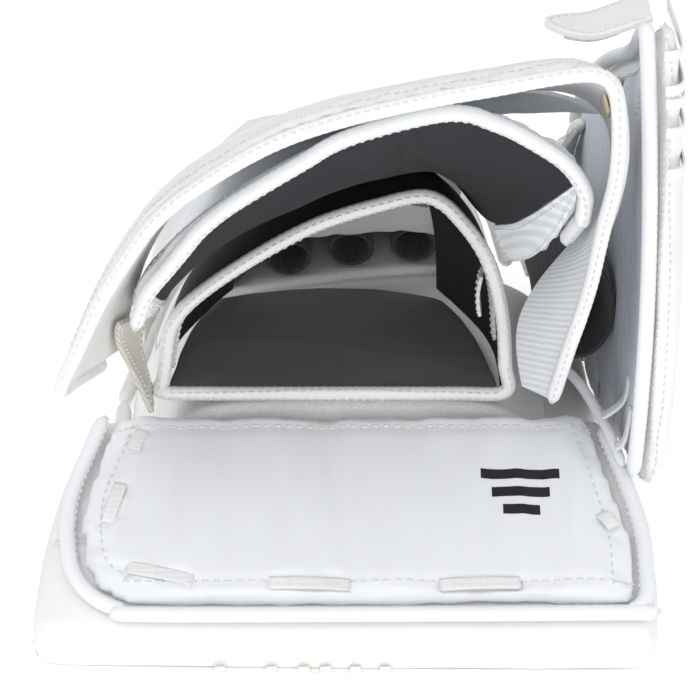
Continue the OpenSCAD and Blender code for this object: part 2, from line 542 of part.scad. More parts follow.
// Four open sleeves for the fingers, each [column of the grid, length in rows]
stall_w = 10.5;
stall_h = 8.4;
module finger_stalls() color("dimgray")
    for (s = [[3, 4.5], [5, 5.5], [7, 5.8], [9, 5.2]])
        sleeve([for (t = [0.12, 0.5, 1])
            let (j = t * s[1], k = floor(j), p = mix(finger_grid[s[0]][k], finger_grid[s[0]][k + 1], j - k),
                 n = grid_normal(finger_grid, s[0], k, false), w = stall_w * (1 - 0.15 * t),
                 h = stall_h * (1 - 0.15 * t))
            [p + n * (leather_t + 3 * gap + finger_foam_t + norm([w * n.x, h * n.z])), w, h]], 1.6);

// Height of the finger back's inner face over the leather
function back_lift(i, j) = leather_t + finger_foam_t + 2.2 * gap
    + (2 * stall_h + 2.5) * sqrt(max(0, 1 - pow(abs(i - 6) / 5, 6))) * min(1, max(0, (9.5 - j) / 3));
finger_back_grid = [for (i = [1:11]) [for (j = [0:13])
    finger_grid[i][j] + grid_normal(finger_grid, i, j, false) * back_lift(i, j)]];
module finger_back() color("white")
    slab(finger_back_grid, padded(finger_back_grid, finger_back_t, 0.45));

// Rolled edge of the finger section, round from the little finger to the first finger
module finger_edge() color("white") {
    rim = [for (j = [0:2:12]) finger_grid[0][j], finger_grid[0][13], for (i = [0:2:12]) finger_grid[i][14],
           finger_grid[12][13], for (j = [12:-2:2]) finger_grid[12][j]];
    last = len(rim) - 1;
    roll([for (k = [0:last]) let (d = unit(rim[min(k + 1, last)] - rim[max(k - 1, 0)]), p = rim[k] + edge_out * [-d.y, d.x, 0])
        [p.x, p.y, max(edge_r, p.z + 1)]], edge_r, sides = 8);
}

// --- web -------------------------------------------------------------------------------------

web_t = 3;
web_in = [for (j = [1, 3, 6, 8]) finger_grid[12][j] + [edge_out + edge_r + 5 * gap, 0, 2]];
web_out = [for (p = [[148, 112], [170, 99], [188, 78], [199, 46]])
    [thumb_in(p.x, p.y) - 2 * roll_r - gap, p.x, p.y]];
web_mid = [for (k = [0:3]) mix(web_in[k], web_out[k], 0.5) + [-2, 6, 9]];
web_grid = between([web_in, web_mid, web_out], 16, 9);
module web_panel() color("white")
    slab(web_grid, raised(web_grid, web_t));
module web_binding() color("white")
    roll([for (k = [0:2:16]) web_grid[k][9] + [roll_r + gap, 0, web_t / 2]], roll_r - 0.3, up = [1, 0, 0], sides = 8);
// Flat laces lying across the web
module web_lace() color("white") {
    low = raised(web_grid, web_t + gap);
    high = raised(web_grid, web_t + gap + 1.2);
    strip = function (g, k) [for (i = [k, k + 1]) [for (j = [2:7]) g[i][j]]];
    for (k = [1:3:7]) slab(strip(low, k), strip(high, k));
}

// --- knuckles --------------------------------------------------------------------------------

// Panel from the seam behind the backhand pad to the finger back, over the knuckles
module knuckle_panel() color("white") {
    front = [for (k = [0:10]) let (p = on_curve(seam, k / 10)) [p.x, hinge_y - 1.5, p.z - 0.5]];
    back = [for (k = [0:10]) let (p = finger_back_grid[k][0]) [p.x, p.y - 2 * gap, p.z]];
    middle = [for (k = [0:10]) mix(front[k], back[k], 0.45) + [0, 4, 14]];
    g = between([front, middle, back], 10, 5);
    slab(padded(g, -5, 0.5), g);
}

cuff_base();
cuff_core();
cuff_cover();
cuff_liner();
cuff_liner_roll();
cuff_lace();
cuff_ribs();
thumb_shell();
thumb_liner();
thumb_roll();
thumb_ribs();
thumb_lace();
thumb_stall();
valley_roll();
palm_leather();
palm_foam();
palm_edge();
palm_suede();
tunnel_lining();
vent_mesh();
mouth_binding();
left_facing();
right_facing();
facing_tab();
hand_strap();
hand_strap_tab();
elastic_gusset();
knuckle_panel();
backhand_shell();
backhand_lining();
backhand_binding();
right_flange();
left_flange();
hook_strap();
wrap_shell();
wrap_lining();
wrap_binding();
wrap_end_pad();
wrap_tongue();
wrap_keeper();
thumb_strap();
thumb_strap_web();
finger_leather();
finger_foam();
finger_stalls();
finger_back();
finger_edge();
web_panel();
web_binding();
web_lace();
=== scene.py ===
"""Looks of a left-hand goalkeeper's catch glove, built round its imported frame.

Lengths are in metres. -Y is the wrist end, +X the thumb side and Z = 0 the surface it lies on.
"""
import logging
import math
from collections.abc import Callable, Iterable
from dataclasses import dataclass
from enum import Enum

import bmesh
import bpy
from mathutils import Matrix, Vector, noise
from mathutils.bvhtree import BVHTree
from mathutils.kdtree import KDTree


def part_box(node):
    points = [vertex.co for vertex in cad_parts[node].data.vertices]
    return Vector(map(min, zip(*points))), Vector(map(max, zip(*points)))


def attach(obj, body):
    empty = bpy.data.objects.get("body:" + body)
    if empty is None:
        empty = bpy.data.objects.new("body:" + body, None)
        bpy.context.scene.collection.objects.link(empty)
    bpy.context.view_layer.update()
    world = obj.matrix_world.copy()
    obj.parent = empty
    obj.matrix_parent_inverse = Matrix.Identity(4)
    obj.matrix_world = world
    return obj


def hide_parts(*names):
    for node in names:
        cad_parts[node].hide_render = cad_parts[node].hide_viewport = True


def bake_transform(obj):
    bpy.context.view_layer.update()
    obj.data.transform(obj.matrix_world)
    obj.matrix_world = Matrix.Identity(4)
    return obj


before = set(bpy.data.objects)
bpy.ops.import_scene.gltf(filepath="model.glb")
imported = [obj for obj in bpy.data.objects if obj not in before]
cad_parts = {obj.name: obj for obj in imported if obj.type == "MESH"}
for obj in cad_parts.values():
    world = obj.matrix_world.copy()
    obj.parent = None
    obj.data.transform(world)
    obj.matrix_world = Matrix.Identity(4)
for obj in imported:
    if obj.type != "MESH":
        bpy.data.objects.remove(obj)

log = logging.getLogger("catch_glove")
MM = 0.001
CLOTH_STEPS = 20
LEAST_MOVE = 0.01 * MM
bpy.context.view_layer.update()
Path = list[Vector]


# --- meshes ----------------------------------------------------------------------------------

def node_mesh(node: str, quads: bool = True) -> bmesh.types.BMesh:
    """Copies a frame node's mesh and merges its loose triangles.

    Args:
        node: The frame node's name.
        quads: Whether pairs of triangles are joined into four-sided faces.

    Returns:
        The merged mesh, its normals pointing outwards.
    """
    bm = bmesh.new()
    bm.from_mesh(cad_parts[node].data)
    bmesh.ops.remove_doubles(bm, verts=bm.verts[:], dist=0.002 * MM)
    bmesh.ops.recalc_face_normals(bm, faces=bm.faces[:])
    if quads:
        bmesh.ops.join_triangles(bm, faces=bm.faces[:], angle_face_threshold=math.radians(35),
                                 angle_shape_threshold=math.radians(70))
    return bm


def as_object(bm: bmesh.types.BMesh, name: str) -> bpy.types.Object:
    """Turns a bmesh into a smooth-shaded object at the origin.

    Args:
        bm: The mesh, which is freed.
        name: The object's name.

    Returns:
        The new object.
    """
    mesh = bpy.data.meshes.new(name)
    bm.to_mesh(mesh)
    bm.free()
    mesh.shade_smooth()
    obj = bpy.data.objects.new(name, mesh)
    bpy.context.scene.collection.objects.link(obj)
    return obj


def applied(obj: bpy.types.Object) -> bpy.types.Object:
    """Applies every modifier of an object.

    Args:
        obj: The object.

    Returns:
        The same object, with its final mesh.
    """
    bpy.context.view_layer.update()
    graph = bpy.context.evaluated_depsgraph_get()
    mesh = bpy.data.meshes.new_from_object(obj.evaluated_get(graph), depsgraph=graph)
    obj.modifiers.clear()
    obj.data = mesh
    mesh.shade_smooth()
    return obj


def subdivided(obj: bpy.types.Object, levels: int) -> bpy.types.Object:
    """Applies a subdivision surface to an object and returns it."""
    smooth = obj.modifiers.new("smooth", "SUBSURF")
    smooth.levels = smooth.render_levels = levels
    return applied(obj)


def soft_copy(node: str, levels: int = 2, crease: float = 0.9, sharp: float = 50.0) -> bpy.types.Object:
    """Makes a smooth copy of a frame node, with its hard edges kept by creases.

    Args:
        node: The frame node's name.
        levels: Levels of subdivision.
        crease: How far an edge sharper than `sharp` keeps its place, from 0 to 1.
        sharp: The angle in degrees past which an edge counts as hard.

    Returns:
        The new object.
    """
    bm = node_mesh(node)
    layer = bm.edges.layers.float.new("crease_edge")
    for edge in bm.edges:
        if edge.is_manifold and edge.calc_face_angle(0.0) > math.radians(sharp):
            edge[layer] = crease
    return subdivided(as_object(bm, f"{node}_finished"), levels)


def surface(*objects: bpy.types.Object) -> BVHTree:
    """A search tree of objects, for laying stitches on them or keeping clear of them."""
    points: Path = []
    faces: list[tuple[int, ...]] = []
    for obj in objects:
        start = len(points)
        points += [v.co.copy() for v in obj.data.vertices]
        faces += [tuple(i + start for i in p.vertices) for p in obj.data.polygons]
    return BVHTree.FromPolygons(points, faces)


def cloth_pad(node: str, voxel: float, pressure: float, cap: float) -> bpy.types.Object:
    """Fills a frame node like a sewn pad: an even mesh, blown up as cloth and held back.

    A point moves at most `cap`, and at most half of the room that it has before the next piece.

    Args:
        node: The frame node's name.
        voxel: Size of the even mesh's faces.
        pressure: Pressure inside the cloth.
        cap: The furthest that a point may move.

    Returns:
        The new pad.
    """
    obj = as_object(node_mesh(node, quads=False), f"{node}_finished")
    even = obj.modifiers.new("even", "REMESH")
    even.mode, even.voxel_size = "VOXEL", voxel
    applied(obj)
    start = [v.co.copy() for v in obj.data.vertices]
    cloth = obj.modifiers.new("cloth", "CLOTH").settings
    cloth.quality, cloth.mass = 5, 0.3
    cloth.tension_stiffness = cloth.compression_stiffness = 15
    cloth.use_pressure, cloth.uniform_pressure_force = True, pressure
    cloth.effector_weights.gravity = 0
    scene = bpy.context.scene
    for step in range(1, CLOTH_STEPS + 1):
        scene.frame_set(step)
    graph = bpy.context.evaluated_depsgraph_get()
    blown = [v.co.copy() for v in obj.evaluated_get(graph).data.vertices]
    obj.modifiers.clear()
    scene.frame_set(1)
    others = surface(*(other for name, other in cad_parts.items() if name != node))
    for vert, a, b in zip(obj.data.vertices, start, blown):
        move = b - a
        far = min(move.length, cap)
        if far > LEAST_MOVE:
            room = others.ray_cast(a, move.normalized(), 2 * far + MM)[3]
            far = far if room is None else min(far, max(0.0, (room - 0.5 * MM) / 2))
            vert.co = a + move.normalized() * far
    return subdivided(obj, 1)


def resampled(path: Path, step: float, closed: bool = False) -> Path:
    """Points at an even spacing along a smooth line through a path.

    Args:
        path: Points that the line follows.
        step: The spacing.
        closed: Whether the line joins up.

    Returns:
        The evenly spaced points.
    """
    n = len(path)
    at = (lambda i: path[i % n]) if closed else (lambda i: path[min(max(i, 0), n - 1)])
    fine: Path = []
    for i in range(n if closed else n - 1):
        a, b, c, d = at(i - 1), at(i), at(i + 1), at(i + 2)
        for k in range(12):
            t = k / 12
            fine.append(0.5 * (2 * b + (c - a) * t + (2 * a - 5 * b + 4 * c - d) * t * t
                               + (3 * b - a - 3 * c + d) * t ** 3))
    fine.append(at(n) if closed else path[-1])
    total = sum((q - p).length for p, q in zip(fine, fine[1:]))
    count = max(2, round(total / step))
    out, want, gone = [fine[0]], total / count, 0.0
    for p, q in zip(fine, fine[1:]):
        long = (q - p).length
        while long > 0 and gone + long >= want * len(out) - 1e-9 and len(out) <= count:
            out.append(p.lerp(q, min(1.0, (want * len(out) - gone) / long)))
        gone += long
    return out[:-1] if closed else out


def rings_from(bm: bmesh.types.BMesh, start: bmesh.types.BMVert) -> list[list[bmesh.types.BMVert]]:
    """The mesh's points in steps outwards from one point."""
    seen, rings = {start}, [[start]]
    while rings[-1]:
        ring = {e.other_vert(v) for v in rings[-1] for e in v.link_edges} - seen
        seen |= ring
        rings.append(sorted(ring, key=lambda v: v.index))
    return rings[:-1]


def centre_line(node: str) -> Path:
    """The line through the middle of a frame roll.

    Args:
        node: The roll's name.

    Returns:
        One point for each ring of the roll, from end to end.
    """
    bm = node_mesh(node, quads=False)
    bm.verts.index_update()
    bm.verts.ensure_lookup_table()
    first = rings_from(bm, bm.verts[0])[-1][0]
    path = [sum((v.co for v in ring), Vector()) / len(ring)
            for ring in rings_from(bm, first) if len(ring) > 2]
    bm.free()
    return path


def round_line(node: str, sides: int) -> Path:
    """The middle line of a closed roll that lies round the Y axis.

    Args:
        node: The roll's name.
        sides: How many points each of its rings has.

    Returns:
        One point for each ring, round the opening.
    """
    bm = node_mesh(node, quads=False)
    spots = [v.co.copy() for v in bm.verts]
    bm.free()
    middle = sum(spots, Vector()) / len(spots)
    spots.sort(key=lambda p: math.atan2(p.z - middle.z, p.x - middle.x))
    return [sum(spots[k:k + sides], Vector()) / sides for k in range(0, len(spots), sides)]


def tube(name: str, path: Path, radius: float, closed: bool = False, pinch: float = 0.05) -> bpy.types.Object:
    """A sewn roll along a path: round, drawn in a little at each stitch, closed at its ends.

    Args:
        name: The object's name.
        path: Points that it follows.
        radius: Its radius.
        closed: Whether it joins up.
        pinch: How far each stitch draws it in, as a share of the radius.

    Returns:
        The new roll.
    """
    line = resampled(path, 1.6 * MM, closed)
    curve = bpy.data.curves.new(name, "CURVE")
    curve.dimensions, curve.bevel_depth, curve.bevel_resolution = "3D", radius, 3
    curve.use_fill_caps = True
    spline = curve.splines.new("POLY")
    spline.points.add(len(line) - 1)
    spline.use_cyclic_u = closed
    for k, (point, spot) in enumerate(zip(spline.points, line)):
        end = 4 * MM if closed else 1.6 * MM * min(k, len(line) - 1 - k)
        point.co = (*spot, 1.0)
        point.radius = ((1 - pinch * (k % 2))
                        * math.sqrt(max(0.12, 1 - max(0.0, 1 - end / (2 * radius)) ** 2)))
    holder = bpy.data.objects.new(name, curve)
    bpy.context.scene.collection.objects.link(holder)
    bpy.context.view_layer.update()
    mesh = bpy.data.meshes.new_from_object(holder.evaluated_get(bpy.context.evaluated_depsgraph_get()))
    bpy.data.objects.remove(holder)
    bm = bmesh.new()
    bm.from_mesh(mesh)
    bmesh.ops.remove_doubles(bm, verts=bm.verts[:], dist=0.01 * MM)
    bmesh.ops.recalc_face_normals(bm, faces=bm.faces[:])
    return as_object(bm, name)


def border(node: str, facing: Vector, inset: float, sharp: float = 60.0) -> Path:
    """The edge of the side of a slab that looks one way, moved inwards over its surface.

    Args:
        node: The frame node's name.
        facing: The way that the side looks.
        inset: How far in from the edge the line runs.
        sharp: The angle in degrees that ends the side; it is lowered until an edge is found.

    Returns:
        The closed line's points.
    """
    line = edge_at(node, facing, inset, sharp)
    while len(line) < 8 and sharp > 12:
        sharp *= 0.75
        line = edge_at(node, facing, inset, sharp)
    return line


def edge_at(node: str, facing: Vector, inset: float, sharp: float) -> Path:
    """The edge that `border` looks for, at one angle; empty if the side has none."""
    bm = node_mesh(node)
    bm.faces.index_update()
    left, best, score = set(bm.faces), set(), -1.0
    while left:
        seed = min(left, key=lambda f: f.index)
        group, todo = {seed}, [seed]
        while todo:
            face = todo.pop()
            for edge in face.edges:
                if edge.is_manifold and edge.calc_face_angle(0.0) < math.radians(sharp):
                    for other in edge.link_faces:
                        if other not in group:
                            group.add(other)
                            todo.append(other)
        left -= group
        value = sum(f.calc_area() * f.normal.dot(facing) for f in group)
        if value > score:
            best, score = group, value
    after: dict[bmesh.types.BMVert, tuple[bmesh.types.BMVert, Vector]] = {}
    for face in best:
        for loop in face.loops:
            if any(f not in best for f in loop.edge.link_faces):
                after[loop.vert] = (loop.link_loop_next.vert, face.normal.copy())
    longest: Path = []
    while after:
        vert, line = min(after, key=lambda v: v.index), []
        while vert in after:
            following, normal = after.pop(vert)
            line.append((vert.co.copy(), normal))
            vert = following
        moved = []
        for k, (spot, normal) in enumerate(line):
            along = (line[(k + 1) % len(line)][0] - line[k - 1][0]).normalized()
            moved.append(spot + normal.cross(along) * inset)
        if len(moved) > len(longest):
            longest = moved
    bm.free()
    return longest


def normals(obj: bpy.types.Object) -> Path:
    """Every point's normal, read at once because moving a point works them all out again."""
    return [v.vector.copy() for v in obj.data.vertex_normals]


def press(obj: bpy.types.Object, lines: Iterable[Path], depth: float, width: float) -> bpy.types.Object:
    """Draws a pad in along its seams, and marks how near each point is to one.

    Args:
        obj: The pad.
        lines: The seams.
        depth: How far the surface is drawn in.
        width: How wide the channel is.

    Returns:
        The same pad.
    """
    spots = [p for line in lines for p in resampled(line, 2 * MM)]
    tree = KDTree(len(spots))
    for k, spot in enumerate(spots):
        tree.insert(spot, k)
    tree.balance()
    near = []
    for vert, normal in zip(obj.data.vertices, normals(obj)):
        share = math.exp(-(tree.find(vert.co)[2] / width) ** 2)
        near.append(share)
        vert.co -= normal * depth * share
    # The seam mark also drives the grime and painted shade that darken the colour beside each seam.
    mark = obj.data.attributes.get("seam") or obj.data.attributes.new("seam", "FLOAT", "POINT")
    old = [0.0] * len(near)
    mark.data.foreach_get("value", old)
    mark.data.foreach_set("value", [max(a, b) for a, b in zip(near, old)])
    obj.data.update()
    return obj


def wrinkled(obj: bpy.types.Object, height: float, size: tuple[float, float, float]) -> bpy.types.Object:
    """Lifts and sinks a soft surface in loose folds.

    Args:
        obj: The piece.
        height: How high the folds stand.
        size: How long a fold is along each axis.

    Returns:
        The same piece.
    """
    for vert, normal in zip(obj.data.vertices, normals(obj)):
        spot = Vector([c / s for c, s in zip(vert.co, size)])
        fold = noise.noise(spot) + 0.4 * noise.noise(spot * 2.3 + Vector((7, 3, 1)))
        vert.co += normal * height * fold
    obj.data.update()
    return obj


def stitches(name: str, rows: Iterable[Path], on: BVHTree, length: float = 2.2 * MM,
             step: float = 3.4 * MM, radius: float = 0.42 * MM, closed: bool = False,
             keep: Callable[[Vector], bool] = lambda p: True) -> bpy.types.Object:
    """Rows of thread stitches lying on a surface.

    Args:
        name: The object's name.
        rows: Lines that the stitches follow.
        on: The surface.
        length: Length of a stitch.
        step: Distance from stitch to stitch.
        radius: Half a stitch's thickness.
        closed: Whether the rows join up.
        keep: Whether a stitch is sewn at a point.

    Returns:
        One object with all the stitches.
    """
    places: list[Matrix] = []
    for row in rows:
        line = resampled(row, step, closed)
        for k, spot in enumerate(line):
            along = line[min(k + 1, len(line) - 1)] - line[max(k - 1, 0)]
            place, normal, _, far = on.find_nearest(spot)
            if place is None or far > 9 * MM or not keep(place):
                continue
            side = normal.cross(along).normalized()
            along = side.cross(normal).normalized()
            turn = Matrix((along, side, normal)).transposed().to_4x4()
            places.append(Matrix.Translation(place + normal * radius * 0.35) @ turn
                          @ Matrix.Diagonal((length / 2, radius, radius, 1.0)))
    whole = bmesh.new()
    holder = bpy.data.meshes.new("thread")
    for start in range(0, len(places), 24):
        few = bmesh.new()
        for matrix in places[start:start + 24]:
            bmesh.ops.create_uvsphere(few, u_segments=6, v_segments=4, radius=1.0, matrix=matrix)
        few.to_mesh(holder)
        few.free()
        whole.from_mesh(holder)
    bpy.data.meshes.remove(holder)
    return as_object(whole, name)


# --- finishes --------------------------------------------------------------------------------

class Texture(Enum):
    """How a surface is made."""

    GRAIN = "grain"
    WOVEN = "woven"
    KNIT = "knit"
    SUEDE = "suede"
    RIBBED = "ribbed"
    FOAM = "foam"
    DOTTED = "dotted"


class Graph:
    """Places and joins the nodes of one tree."""

    def __init__(self, tree: bpy.types.NodeTree) -> None:
        """Starts an empty tree."""
        self.tree = tree
        tree.nodes.clear()

    def node(self, kind: str, inputs: dict[str | int, object] | None = None,
             **settings: object) -> bpy.types.Node:
        """Adds a node.

        Args:
            kind: The node's type, without its "ShaderNode".
            inputs: For each input, a socket to join or a value to set.
            **settings: The node's own settings.

        Returns:
            The new node.
        """
        made = self.tree.nodes.new(kind if kind.startswith("Node") else f"ShaderNode{kind}")
        for key, value in settings.items():
            setattr(made, key, value)
        for key, value in (inputs or {}).items():
            if isinstance(value, bpy.types.NodeSocket):
                self.tree.links.new(value, made.inputs[key])
            else:
                made.inputs[key].default_value = value
        return made

    def math(self, operation: str, a: object, b: object = 0.0) -> bpy.types.NodeSocket:
        """The result of a Math node on two sockets or numbers."""
        return self.node("Math", {0: a, 1: b}, operation=operation).outputs[0]

    def noise(self, where: bpy.types.NodeSocket, scale: float, detail: float = 2.0) -> bpy.types.NodeSocket:
        """The value of a noise texture."""
        return self.node("TexNoise", {"Vector": where, "Scale": scale, "Detail": detail}).outputs[0]

    def wave(self, where: bpy.types.NodeSocket, axis: str, scale: float) -> bpy.types.NodeSocket:
        """The value of a wave texture of straight bands."""
        bands = self.node("TexWave", {"Vector": where, "Scale": scale, "Distortion": 0.6, "Detail": 1.0},
                          bands_direction=axis, wave_profile="SIN")
        return bands.outputs["Fac"]


def texture_group(kind: Texture) -> bpy.types.NodeTree:
    """The shared node group of one texture, built once.

    Its Size is the length of one repeat. Height lifts the surface and Shade varies its colour.

    Args:
        kind: The texture.

    Returns:
        The node group.
    """
    name = f"{kind.value}_texture"
    if name in bpy.data.node_groups:
        return bpy.data.node_groups[name]
    tree = bpy.data.node_groups.new(name, "ShaderNodeTree")
    tree.interface.new_socket("Size", in_out="INPUT", socket_type="NodeSocketFloat")
    for out in ("Height", "Shade"):
        tree.interface.new_socket(out, in_out="OUTPUT", socket_type="NodeSocketFloat")
    g = Graph(tree)
    size = g.node("NodeGroupInput").outputs[0]
    place = g.node("TexCoord").outputs["Object"]
    unit = g.node("VectorMath", {0: place, 3: g.math("DIVIDE", 1.0, size)}, operation="SCALE").outputs[0]
    broad = g.noise(place, 22.0, 3.0)
    if kind is Texture.GRAIN:
        cells = g.node("TexVoronoi", {"Vector": unit, "Scale": 1.0}, feature="SMOOTH_F1").outputs["Distance"]
        fine = g.noise(unit, 2.5)
        height = g.math("ADD", cells, g.math("MULTIPLY", fine, 0.5))
        shade = g.math("ADD", g.math("MULTIPLY", broad, 0.7), g.math("MULTIPLY", fine, 0.3))
    elif kind in (Texture.WOVEN, Texture.KNIT):
        bands = [g.wave(unit, axis, 0.32) for axis in "XYZ"]
        height = g.math("ADD", g.math("MULTIPLY", bands[0], bands[1]),
                        g.math("ADD", g.math("MULTIPLY", bands[1], bands[2]),
                               g.math("MULTIPLY", bands[2], bands[0])))
        shade = g.math("ADD", g.math("MULTIPLY", broad, 0.75), g.math("MULTIPLY", height, 0.2))
    elif kind is Texture.SUEDE:
        fibre = g.noise(unit, 1.6, 4.0)
        heather = g.noise(g.node("Mapping", {"Vector": unit, "Scale": (0.25, 0.9, 0.9)}).outputs[0], 1.0, 3.0)
        height = fibre
        shade = g.math("ADD", g.math("MULTIPLY", heather, 0.6), g.math("MULTIPLY", broad, 0.4))
    elif kind is Texture.RIBBED:
        height = g.wave(unit, "DIAGONAL", 0.32)
        shade = g.math("ADD", g.math("MULTIPLY", broad, 0.5), g.math("MULTIPLY", height, 0.5))
    elif kind is Texture.DOTTED:
        holes = g.node("TexVoronoi", {"Vector": unit, "Scale": 1.0, "Randomness": 0.0}).outputs["Distance"]
        height = g.math("LESS_THAN", holes, 0.3)
        shade = height
    else:
        bubbles = g.node("TexVoronoi", {"Vector": unit, "Scale": 1.0}).outputs["Distance"]
        height = bubbles
        shade = g.math("ADD", g.math("MULTIPLY", bubbles, 0.4), g.math("MULTIPLY", broad, 0.6))
    shade = g.node("MapRange", {"Value": shade, "From Min": 0.32, "From Max": 0.68}).outputs[0]
    g.node("NodeGroupOutput", {"Height": height, "Shade": shade})
    return tree


def seam_grime_and_shade_group() -> bpy.types.NodeTree:
    """The shared node group that darkens the channel beside a seam in patches: partly grime, partly painted
    shade in the drawn-in channel.
    """
    name = "seam_grime_and_painted_shade"
    if name in bpy.data.node_groups:
        return bpy.data.node_groups[name]
    tree = bpy.data.node_groups.new(name, "ShaderNodeTree")
    tree.interface.new_socket("Amount", in_out="INPUT", socket_type="NodeSocketFloat")
    tree.interface.new_socket("Mask", in_out="OUTPUT", socket_type="NodeSocketFloat")
    g = Graph(tree)
    near = g.node("Attribute", attribute_name="seam").outputs["Fac"]
    patches = g.noise(g.node("TexCoord").outputs["Object"], 140.0, 3.0)
    amount = g.node("NodeGroupInput").outputs[0]
    g.node("NodeGroupOutput", {"Mask": g.math("MULTIPLY", g.math("MULTIPLY", near, patches), amount)})
    return tree


@dataclass(frozen=True)
class Finish:
    """One material: its colours, texture and shine, for one of the record's slots."""

    name: str
    slot: str
    texture: Texture
    size: float
    light: tuple[float, float, float]
    dark: tuple[float, float, float]
    rough: float
    lift: float
    sheen: float = 0.0
    # How strongly the channel beside each seam is darkened, partly grime and partly painted shade.
    grime_and_shade: float = 0.25
    gloss: float = 0.5

    def material(self) -> bpy.types.Material:
        """Builds the material once.

        Returns:
            The material.
        """
        if self.name in bpy.data.materials:
            return bpy.data.materials[self.name]
        made = bpy.data.materials.new(self.name)
        made.use_nodes = True
        g = Graph(made.node_tree)
        pattern = g.node("Group", node_tree=texture_group(self.texture))
        pattern.inputs["Size"].default_value = self.size
        # The channel beside each seam is darkened in patches: partly grime, partly painted shade.
        grime_and_shade_node = g.node("Group", node_tree=seam_grime_and_shade_group())
        grime_and_shade_node.inputs["Amount"].default_value = self.grime_and_shade
        cloth = g.node("Mix", {0: pattern.outputs["Shade"], 6: (*self.dark, 1), 7: (*self.light, 1)},
                       data_type="RGBA")
        # The darker colour of that channel, for grime and painted shade.
        grime_and_shade_colour = tuple(c * 0.55 for c in self.dark)
        colour = g.node("Mix", {0: grime_and_shade_node.outputs["Mask"], 6: cloth.outputs[2], 7: (*grime_and_shade_colour, 1)},
                        data_type="RGBA")
        spread = g.node("MapRange", {"Value": pattern.outputs["Shade"], "To Min": self.rough + 0.06,
                                     "To Max": self.rough - 0.06})
        bump = g.node("Bump", {"Height": pattern.outputs["Height"], "Strength": 0.6, "Distance": self.lift})
        shader = g.node("BsdfPrincipled", {"Base Color": colour.outputs[2], "Roughness": spread.outputs[0],
                                           "Normal": bump.outputs[0], "Sheen Weight": self.sheen,
                                           "Sheen Roughness": 0.45, "Specular IOR Level": self.gloss})
        g.node("OutputMaterial", {"Surface": shader.outputs[0]})
        return made


VINYL = Finish("white_vinyl", "vinyl", Texture.GRAIN, 0.75 * MM, (0.83, 0.83, 0.81),
               (0.77, 0.77, 0.745), 0.42, 0.05 * MM)
NYLON = Finish("liner_nylon", "liner_nylon", Texture.WOVEN, 0.6 * MM, (0.82, 0.83, 0.845),
               (0.76, 0.77, 0.785), 0.62, 0.05 * MM, sheen=0.15)
# The liner nylon again, its colour darkened and blued as painted shade for the thumb board's inner face.
THUMB_NYLON_PAINTED_SHADE = Finish("thumb_nylon_painted_shade", "liner_nylon", Texture.WOVEN, 0.6 * MM, (0.66, 0.69, 0.75),
                     (0.55, 0.58, 0.65), 0.6, 0.05 * MM, sheen=0.1)
BINDING = Finish("binding_tape", "webbing", Texture.WOVEN, 0.55 * MM, (0.84, 0.84, 0.835),
                 (0.76, 0.77, 0.775), 0.6, 0.06 * MM, sheen=0.1)
WEBBING = Finish("ribbed_webbing", "webbing", Texture.RIBBED, 1.5 * MM, (0.84, 0.85, 0.87),
                 (0.68, 0.70, 0.73), 0.65, 0.14 * MM, sheen=0.1)
LACE = Finish("flat_lace", "lace", Texture.WOVEN, 0.9 * MM, (0.85, 0.85, 0.84), (0.72, 0.73, 0.73),
              0.68, 0.1 * MM)
THREAD = Finish("sewing_thread", "lace", Texture.WOVEN, 0.35 * MM, (0.78, 0.78, 0.77), (0.6, 0.6, 0.6),
                0.6, 0.03 * MM)
TRICOT = Finish("black_tricot", "black_tricot", Texture.KNIT, 0.8 * MM, (0.012, 0.012, 0.014),
                (0.005, 0.005, 0.006), 0.72, 0.08 * MM, sheen=0.0, grime_and_shade=0.0, gloss=0.15)
# Grey suede, its colour lifted well above the suede's own grey as painted light, to make up for the shade
# inside the tunnel.
SUEDE = Finish("grey_suede", "grey_suede", Texture.SUEDE, 1.1 * MM, (0.27, 0.27, 0.275),
               (0.10, 0.10, 0.105), 0.88, 0.12 * MM, sheen=0.1, grime_and_shade=0.1, gloss=0.2)
DARK_KNIT = Finish("dark_knit", "dark_mesh", Texture.KNIT, 1.2 * MM, (0.07, 0.07, 0.075),
                   (0.03, 0.03, 0.034), 0.8, 0.12 * MM, sheen=0.15, grime_and_shade=0.0)
VENT = Finish("vented_knit", "dark_mesh", Texture.DOTTED, 3.4 * MM, (0.6, 0.6, 0.6),
              (0.02, 0.02, 0.022), 0.7, 0.2 * MM, grime_and_shade=0.0)
FOAM = Finish("closed_foam", "foam", Texture.FOAM, 0.9 * MM, (0.8, 0.8, 0.78), (0.66, 0.66, 0.64), 0.85,
              0.12 * MM)
HOOK_CLOTH = Finish("strap_cloth", "hook_strap", Texture.RIBBED, 0.9 * MM, (0.66, 0.63, 0.55),
                    (0.5, 0.47, 0.4), 0.8, 0.15 * MM, sheen=0.2)
TAN = Finish("tan_loop", "tan_loop", Texture.WOVEN, 0.7 * MM, (0.6, 0.48, 0.32), (0.44, 0.34, 0.22),
             0.7, 0.1 * MM)
PALM = Finish("palm_leather", "palm_leather", Texture.GRAIN, 1.1 * MM, (0.82, 0.82, 0.79),
              (0.73, 0.73, 0.70), 0.5, 0.1 * MM)
INK = Finish("black_print", "black_tricot", Texture.GRAIN, 0.5 * MM, (0.014, 0.014, 0.014),
             (0.008, 0.008, 0.008), 0.5, 0.02 * MM, grime_and_shade=0.0)


# --- shared work of the sub-assemblies ------------------------------------------------------

